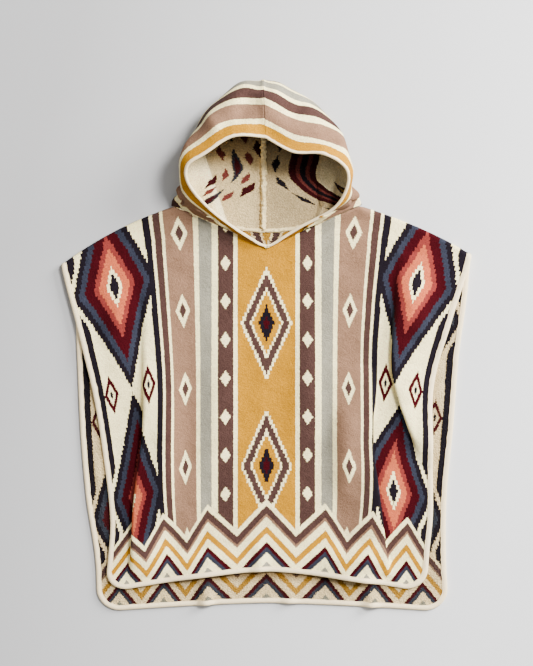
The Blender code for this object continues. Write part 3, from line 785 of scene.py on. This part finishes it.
def rim_edges(left, right):
    """The hood's rim, from the neck over the brow to the neck, and inwards of it."""
    edges, inners = [], []
    point = FRONT_POINT + Vector((0, ORIGIN_Y, 0))
    for row in left + right[-2::-1]:
        if row[0].y < point.y + RIM_FREE:
            continue
        gone = lengths(row)
        index = next(i for i, value in enumerate(gone) if value >= RIM_WIDTH)
        share = (RIM_WIDTH - gone[index - 1]) / (gone[index] - gone[index - 1])
        edges.append(row[0].copy())
        inners.append(row[index - 1].lerp(row[index], share))
    low = point + Vector((0, RIM_ROUND, 0.0007))
    begun = rounded(low, edges[0], edges[1] - edges[0], low + RIM_DOWN, inners[0])
    ended = rounded(low, edges[-1], edges[-2] - edges[-1], low + RIM_DOWN, inners[-1])
    places = begun + list(zip(edges, inners)) + ended[::-1]
    return [place[0] for place in places], [place[1] for place in places]


def rounded(low, edge, ahead, low_inner, inner):
    """Places on the tape's curve from the rim's lowest point out to where it follows the cloth."""
    size = (edge - low).length
    level = Vector((math.copysign(size, edge.x), 0, 0))
    found = []
    for step in range(POINT_STEPS):
        share = step / POINT_STEPS
        place = spline(edge - level * 2, low, edge, low + ahead.normalized() * size * 2, share)
        found.append((place, place + (low_inner - low).lerp(inner - edge, share)))
    return found


def fuzzy_ridge(name, line, width, height, seed):
    """The turned-in edges of a seam, which stand off it, uneven as cut pile is."""
    centres = finer(line, RIDGE_SPACING)
    gone = lengths(centres)
    rows, measures = [], []
    for centre, run, at in zip(centres, headings(centres), gone):
        across = run.cross(Vector((0, -0.25, 1))).normalized()
        up = across.cross(run).normalized()
        row = []
        for step in range(RIDGE_STEPS + 1):
            angle = math.pi * step / RIDGE_STEPS
            rough = 1.0
            for rise, scale, spread, shift in RIDGE_ROUGH:
                rough += rise * noise.noise(Vector((at * scale, step * spread, seed + shift)))
            row.append(centre + across * math.cos(angle) * width / 2 * rough
                       + up * math.sin(angle) * height * rough)
        rows.append(row)
        measures.append([(at, step * width / RIDGE_STEPS) for step in range(RIDGE_STEPS + 1)])
    sheet(name, rows, measures, [cut_pile], RIDGE_WALL)


def finer(points, spacing):
    """Places on the same line, closely and evenly spaced."""
    gone = lengths(points)
    at = np.arange(0, gone[-1], spacing)
    return [Vector(place) for place in
            np.stack([np.interp(at, gone, [point[axis] for point in points]) for axis in range(3)], axis=-1)]


# ------------------------ finishes
def shade(red, green, blue):
    """A colour as its light, from the way that screens count it."""
    return tuple((value / 255 / 12.92 if value <= 10 else ((value / 255 + 0.055) / 1.055) ** 2.4)
                 for value in (red, green, blue)) + (1.0,)


def palette(**colours):
    return {name: shade(*colour) for name, colour in colours.items()}


FACE = palette(ground=(255, 238, 177), mustard=(174, 119, 15), mauve=(68, 47, 42), tan=(130, 98, 76),
               silver=(135, 130, 113), navy=(23, 18, 24), slate=(42, 44, 55), wine=(53, 7, 13),
               coral=(121, 47, 42), salmon=(183, 89, 58))
# The lighter ground, light, is painted light, for walls inside the hood that face the lamps; the darker
# ground is painted shade, over the right half of the hood's inside.
INSIDE = palette(ground=(203, 178, 130), light=(255, 236, 186), dim=(174, 151, 110),
                 mustard=(143, 103, 33), mauve=(62, 44, 40), tan=(115, 92, 71), silver=(110, 107, 91),
                 navy=(22, 18, 22), slate=(42, 44, 50), wine=(50, 14, 16), coral=(99, 47, 42),
                 salmon=(133, 73, 57))


def working(operation):
    """How a Number takes part in one kind of sum."""
    return lambda number, *others: number.finish.maths(operation, number, *others)


class Number:
    """A number worked out over a surface, in a finish."""

    def __init__(self, finish, socket):
        self.finish, self.socket = finish, socket

    def __rsub__(self, other):
        return self.finish.maths("SUBTRACT", other, self)

    __add__ = __radd__ = working("ADD")
    __sub__ = working("SUBTRACT")
    __mul__ = __rmul__ = working("MULTIPLY")
    __truediv__ = working("DIVIDE")
    __mod__ = working("FLOORED_MODULO")
    __lt__ = working("LESS_THAN")
    __gt__ = working("GREATER_THAN")
    __abs__ = working("ABSOLUTE")
    stepped = working("SNAP")


class Finish:
    """A material, its shader and the nodes that vary it."""

    def __init__(self, name, roughness, **sockets):
        self.material = bpy.data.materials.new(name)
        self.material.use_nodes = True
        self.tree = self.material.node_tree
        self.shader = self.tree.nodes["Principled BSDF"]
        self.shader.inputs["Roughness"].default_value = roughness
        for socket, value in sockets.items():
            self.shader.inputs[socket.replace("_", " ")].default_value = value

    def set(self, socket, value):
        if isinstance(value, Number):
            value = value.socket
        if isinstance(value, bpy.types.NodeSocket):
            self.tree.links.new(value, socket)
        else:
            socket.default_value = value

    def node(self, kind, settings=None, **inputs):
        node = self.tree.nodes.new(kind)
        for name, value in (settings or {}).items():
            setattr(node, name, value)
        for name, value in inputs.items():
            self.set(node.inputs[name.replace("_", " ")], value)
        return node

    def maths(self, operation, *values):
        node = self.node("ShaderNodeMath", {"operation": operation})
        for socket, value in zip(node.inputs, values):
            self.set(socket, value)
        return Number(self, node.outputs[0])

    def mix(self, base, cover, share, blend="MIX"):
        node = self.node("ShaderNodeMix", {"data_type": "RGBA", "blend_type": blend})
        for index, value in ((0, share), (6, base), (7, cover)):
            self.set(node.inputs[index], value)
        return node.outputs[2]

    def noise(self, place, scale, detail=2.0):
        node = self.node("ShaderNodeTexNoise", None, Vector=place, Scale=scale, Detail=detail)
        return Number(self, node.outputs[0])

    def split(self, vector):
        node = self.node("ShaderNodeSeparateXYZ", None, Vector=vector)
        return [Number(self, output) for output in node.outputs]

    def object_place(self):
        return self.node("ShaderNodeTexCoord").outputs["Object"]

    def cut_place(self):
        return self.node("ShaderNodeUVMap", {"uv_map": "cut"}).outputs[0]

    def bump(self, height, distance, strength):
        node = self.node("ShaderNodeBump", None, Height=height, Distance=distance, Strength=strength)
        self.set(self.shader.inputs["Normal"], node.outputs[0])

    def colour(self, value):
        self.set(self.shader.inputs["Base Color"], value)


# In the designs a column of lozenges is given by how far beside and along it a
# place lies, its pitch, half a lozenge's width and height, and its rings from the
# outermost: how far out each goes, and its colour.
STEP_SIZE = 0.0016        # one step of the weave
HEM_LEVEL = 0.500         # where the hem's zigzags begin
ZIGZAG = 0.0914
SIDE_PITCH = 0.318        # of the lozenges at the panels' sides
Stripe = namedtuple("Stripe", "low high colour")
PANEL_STRIPES = table(Stripe, (0, 45, "mustard"), (51, 76, "mauve"), (84, 106, "silver"), (113, 158, "tan"),
    (163, 175, "mauve"), (179, 191, "navy"), (300, 330, "navy"))
MIDDLE_RINGS = ((1.0, "ground"), (0.9, "mauve"), (0.64, "ground"), (0.56, "mustard"), (0.32, "navy"),
    (0.14, "wine"))
SIDE_RINGS = ((1.1, "ground"), (1.0, "navy"), (0.86, "slate"), (0.72, "wine"), (0.5, "coral"),
    (0.38, "salmon"), (0.2, "ground"), (0.13, "navy"))
SMALL_RINGS = ((1.0, "wine"), (0.55, "ground"), (0.25, "navy"))
HEM_STRIPES = table(Stripe, (0, 120, "ground"), (9, 22, "mauve"), (22, 27, "tan"), (41, 53, "mustard"),
    (66, 74, "wine"), (74, 82, "slate"), (96, 106, "silver"))
HOOD_STRIPES = table(Stripe, (0, 19, "mustard"), (27, 50, "tan"), (60, 78, "mauve"), (86, 104, "silver"),
    (114, 126, "mauve"), (126, 134, "mustard"), (142, 168, "navy"), (178, 200, "tan"))
INNER_STRIPES = table(Stripe, (0, 20, "mustard"), (30, 38, "mauve"), (104, 116, "wine"),
    (116, 122, "coral"), (122, 132, "navy"), (132, 138, "coral"), (138, 150, "wine"))


def within(value, low, high):
    return (value > low) * (value < high)


class Design:
    """A woven design, laid over plain ground piece by piece."""

    def __init__(self, finish, colours):
        self.finish, self.colours, self.base = finish, colours, colours["ground"]

    def lay(self, colour, share):
        self.base = self.finish.mix(self.base, self.colours[colour], share)

    def stripes(self, value, stripes):
        for stripe in stripes:
            self.lay(stripe.colour, within(value, stripe.low, stripe.high))

    def lozenges(self, beside, along, pitch, half, reach, rings, where=1.0):
        """A column of nested lozenges, each ring over what is outside it."""
        size = abs(beside) / half + abs(along % pitch - pitch / 2) / reach
        for limit, colour in rings:
            self.lay(colour, (size < limit) * where)


def panel_design(woven, across, down):
    """A plain blanket design: stripes, columns of stepped lozenges and a zigzag hem."""
    out = abs(across.stepped(STEP_SIZE) + STEP_SIZE / 2)
    level, coarse = down.stepped(STEP_SIZE), down.stepped(4 * STEP_SIZE)
    woven.stripes(out, PANEL_STRIPES)
    woven.lozenges(out, coarse + 0.150, 0.220, 0.040, 0.088, MIDDLE_RINGS)
    woven.lozenges(out - 0.0635, level, 0.059, 0.008, 0.012, ((1.0, "ground"),))
    woven.lozenges(out - 0.1355, level + 0.020, 0.118, 0.013, 0.026, ((1.0, "ground"), (0.5, "mauve")))
    side, at_side = out - 0.247, out > 0.188
    woven.lozenges(side, coarse + 0.060, SIDE_PITCH, 0.069, 0.157, SIDE_RINGS, at_side)
    woven.lozenges(abs(side) - 0.040, level + 0.060 + SIDE_PITCH / 2, SIDE_PITCH, 0.014, 0.030,
                   SMALL_RINGS, at_side)
    woven.stripes(level - HEM_LEVEL + abs(out % ZIGZAG - ZIGZAG / 2), HEM_STRIPES)


def hood_design(woven, across, down):
    """Plain stripes side by side with the hood's front edge."""
    woven.stripes(down, HOOD_STRIPES)


def inner_left_design(woven, across, down):
    """Small lozenges in three columns on plain ground, with painted light on the wall that faces the lamps.
    """
    along, beside = across.stepped(STEP_SIZE), down.stepped(STEP_SIZE)
    x, y, _ = woven.finish.split(woven.finish.object_place())
    # painted light: the left wall's crescent, which faces the lamps, gets the lighter ground
    woven.lay("light", x + 0.056 + (y - 0.178) * 0.33 < 0.0)
    woven.lay("mustard", (beside < 0.019) * (along % 0.118 < 0.062))
    beside = beside - 0.143
    woven.lozenges(beside, along, 0.064, 0.009, 0.029, ((1.0, "slate"), (0.6, "wine")))
    woven.lozenges(abs(beside) - 0.019, along, 0.032, 0.007, 0.011, ((1.0, "coral"),))
    woven.lozenges(abs(beside) - 0.036, along + 0.032, 0.064, 0.009, 0.014, ((1.0, "wine"),))


def inner_right_design(woven, across, down):
    """Dark stripes along the seam, and small lozenges beside it, over painted shade and a wall with painted
    light.
    """
    along, beside = across.stepped(STEP_SIZE), down.stepped(STEP_SIZE)
    # painted shade over the right half's ground, and painted light on its wall beside the rim, which turns
    # towards the opening
    woven.base = woven.colours["dim"]
    woven.lay("light", (beside < 0.110) * 0.8)
    woven.stripes(beside, INNER_STRIPES)
    woven.lozenges(beside - 0.076, along, 0.072, 0.012, 0.020, ((1.0, "mauve"), (0.45, "mustard")))
    woven.lozenges(beside - 0.168, along, 0.030, 0.006, 0.013, ((1.0, "navy"),))


def painted_brow_shade(x, y):
    """Painted shade deep in the hood under the brow: how strongly a place's loops are darkened, and the dark
    colour that they are multiplied by.
    """
    return (y + x * 0.15 + abs(x) * 0.15 - 0.270) / 0.060, (0.20, 0.16, 0.12, 1.0)


def painted_hem_shadow(x, y):
    """Painted shadow on the back's loops, along and just below the front's hem and fading towards its
    corners: how strongly they are darkened, and the dark colour that they are multiplied by.
    """
    near = (y + x * x * 0.52 + 0.3522) / 0.014 + 1.0
    return near * (1.25 - x * x * 22.0) * within(y, -0.45, -0.30) * (abs(x) < 0.235), (0.34, 0.30, 0.26, 1.0)


FUZZ_SCALE = 560.0        # of the loose ends that blur the design's edges
PILE_SCALE = 620.0
NAP_SCALE = 210.0         # of the way that the velour is brushed
PATCH_SCALE = 46.0
CURL_SCALE = 430.0        # of the loops
DARKEST = (0.66, 0.65, 0.63, 1.0)     # tones of the pile, over the design
LIGHTEST = (1.34, 1.35, 1.37, 1.0)


def terry(name, colours, design, loops=None):
    """Terry cloth with a woven design: sheared velour, or the looped inside, darkened with painted shade
    where the function given as loops says.
    """
    finish = Finish(name, 0.94, Sheen_Weight=0.03, Sheen_Roughness=0.4, Specular_IOR_Level=0.03)
    place = finish.object_place()
    across, down, _ = finish.split(finish.cut_place())
    fuzz = finish.node("ShaderNodeTexNoise", None, Vector=place, Scale=FUZZ_SCALE, Detail=1.0).outputs[1]
    shift_x, shift_y, _ = finish.split(fuzz)
    loose = 0.0056 if loops else 0.0026
    woven = Design(finish, colours)
    design(woven, across + (shift_x - 0.5) * loose, down + (shift_y - 0.5) * loose)
    pile = finish.noise(place, PILE_SCALE)
    patchy = finish.noise(place, PATCH_SCALE, 3.0)
    uneven = (pile - 0.5) * (2.2 if loops else 1.7) + (patchy - 0.5) * 0.7 + 0.5
    tone = finish.mix(DARKEST, LIGHTEST, uneven)
    toned = finish.mix(woven.base, tone, 1.0, "MULTIPLY")
    if loops:
        # painted shade: where the loops lie in shadow their colour is multiplied by a dark colour
        x, y, _ = finish.split(place)
        depth, painted_shade_tint = loops(x, y)
        toned = finish.mix(toned, painted_shade_tint, depth, "MULTIPLY")
        curls = finish.node("ShaderNodeTexVoronoi", None, Vector=place, Scale=CURL_SCALE)
        finish.bump(Number(finish, curls.outputs["Distance"]) * -1.0 + pile * 0.6, 0.0012, 1.0)
    else:
        finish.bump(pile + finish.noise(place, NAP_SCALE) * 0.9 + patchy * 1.6, 0.0011, 0.75)
    finish.colour(toned)
    return finish.material


TWILL = 0.0013            # from one rib of the tape to the next
TAPE_SCALE = 700.0


def tape_finish(name, colour, twill=False):
    """Cotton tape with a fine twill, or its thread."""
    finish = Finish(name, 0.85, Sheen_Weight=0.03, Sheen_Roughness=0.5, Specular_IOR_Level=0.1)
    place = finish.object_place()
    mottled = finish.noise(place, TAPE_SCALE)
    finish.colour(finish.mix(tuple(value * 0.82 for value in colour[:3]) + (1.0,), colour, mottled * 1.6))
    height = mottled
    if twill:
        along, over, _ = finish.split(finish.cut_place())
        height = mottled * 0.4 + abs((along + over) % TWILL - TWILL / 2) * 900.0
    finish.bump(height, 0.0004, 0.5)
    return finish.material


velour = terry("velour", FACE, panel_design)
velour_stripes = terry("velour_stripes", FACE, hood_design)
# the panels' loops carry a painted shadow just below the front's hem
loops_inside = terry("loops", INSIDE, panel_design, painted_hem_shadow)
# the hood's loops carry painted shade, darker deep under the brow
inner_left = terry("hood_left_loops", INSIDE, inner_left_design, painted_brow_shade)
inner_right = terry("hood_right_loops", INSIDE, inner_right_design, painted_brow_shade)
cut_pile = tape_finish("cut_pile", shade(240, 216, 160))
tape = tape_finish("tape", shade(255, 232, 186), twill=True)
thread = tape_finish("thread", shade(253, 236, 190))

# ------------------------ the towel
def bind(panel, edges, inners, width, seed, depth):
    """Fold a tape round an edge and sew it down."""
    sheet(panel + "_tape", *tape_rows(edges, inners, width, seed, depth), [tape], TAPE)
    stitches(panel + "_stitches", edges, inners, width)


front = sheet("front_cloth", *panel_cloth("front"), [velour, loops_inside], CLOTH, inside=1, turn_over=True)
back = sheet("back_cloth", *panel_cloth("back"), [velour, loops_inside], CLOTH, inside=1)
bind("front", *panel_edges("front"), BINDING_SHOWS, 1.0, PANEL_DEPTH)
bind("back", *panel_edges("back"), BINDING_SHOWS, 2.0, PANEL_DEPTH)

left_rows, left_cut = hood_rows(-1)
right_rows, right_cut = hood_rows(1)
hood_left = sheet("hood_left_cloth", left_rows, left_cut, [velour_stripes, inner_left], CLOTH,
                  inside=1, turn_over=True)
hood_right = sheet("hood_right_cloth", right_rows, right_cut, [velour_stripes, inner_right], CLOTH, inside=1)
bind("hood", *rim_edges(left_rows, right_rows), RIM_SHOWS, 3.0, RIM_DEPTH)

seam_line = [row[-1] + Vector((SEAM_RIDGE / 2 - 0.001, 0, CLOTH / 2)) for row in left_rows[SEAM_ROWS]]
fuzzy_ridge("seam_ridge", seam_line, SEAM_RIDGE, SEAM_RIDGE_HEIGHT, 1.0)
neck_line = [place + Vector((0, 0.0030, CLOTH / 2)) for place in
             left_rows[0][NECK_PLACES:-1] + right_rows[0][:NECK_PLACES:-1]]
fuzzy_ridge("neck_ridge", neck_line, NECK_RIDGE, NECK_RIDGE_HEIGHT, 2.0)

Slot = namedtuple("Slot", "piece node slot")
SLOTS = (Slot("front_cloth", "front_panel", "velour"), Slot("back_cloth", "back_panel", "loops"),
         Slot("hood_left_cloth", "hood_left", "velour"), Slot("hood_right_cloth", "hood_right", "velour"),
         Slot("front_tape", "front_binding", "tape"), Slot("back_tape", "back_binding", "tape"),
         Slot("hood_tape", "hood_binding", "tape"), Slot("front_stitches", None, "tape"),
         Slot("back_stitches", None, "tape"), Slot("hood_stitches", None, "tape"),
         Slot("seam_ridge", None, "loops"), Slot("neck_ridge", None, "loops"))
for name, node, slot in SLOTS:
    piece = pieces[name]
    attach(piece, "root")
    if node:
        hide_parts(node)

# ------------------------ floor, light and camera
FLOOR_HALF = 3.0
bm = bmesh.new()
bmesh.ops.create_grid(bm, x_segments=1, y_segments=1, size=FLOOR_HALF)
paper = Finish("paper", 0.9)
across, along, _ = paper.split(paper.object_place())
# painted light and shade: the floor grows lighter to the right, on the lamps' side, and darker to the left,
# and darkens a little up the page
paper.colour(paper.mix(shade(170, 169, 169), shade(222, 222, 222), across * 1.1 - along * 0.35 + 0.5))
floor = finish_piece("floor", bm, [paper.material])


Lamp = namedtuple("Lamp", "name place size power")
LAMPS = (Lamp("window", (2.97, 1.85, 1.49), 1.6, 405), Lamp("skylight", (1.44, 1.21, 2.59), 0.8, 200),
         Lamp("sky", (0.0, 0.3, 2.9), 3.0, 23))
for lamp in LAMPS:
    light = bpy.data.lights.new(lamp.name, "AREA")
    light.energy, light.size = lamp.power, lamp.size
    light_object = bpy.data.objects.new(lamp.name, light)
    light_object.location = lamp.place
    light_object.rotation_euler = (Vector() - Vector(lamp.place)).to_track_quat("-Z", "Y").to_euler()
    bpy.context.scene.collection.objects.link(light_object)

world = bpy.data.worlds.new("studio")
world.use_nodes = True
background = world.node_tree.nodes["Background"]
background.inputs["Color"].default_value = (1.0, 1.0, 1.0, 1.0)
background.inputs["Strength"].default_value = 0.315
bpy.context.scene.world = world

CAMERA_HEIGHT = 2.5
CAMERA_Y = 0.0178 + ORIGIN_Y
FRAME_HEIGHT = 1.0323     # of the floor that the picture shows
SENSOR = 24.0
camera_data = bpy.data.cameras.new("camera")
camera_data.sensor_fit = "VERTICAL"
camera_data.sensor_height = SENSOR
camera_data.lens = SENSOR * CAMERA_HEIGHT / FRAME_HEIGHT
camera = bpy.data.objects.new("camera", camera_data)
camera.location = (0.0, CAMERA_Y, CAMERA_HEIGHT)
bpy.context.scene.collection.objects.link(camera)
bpy.context.scene.camera = camera
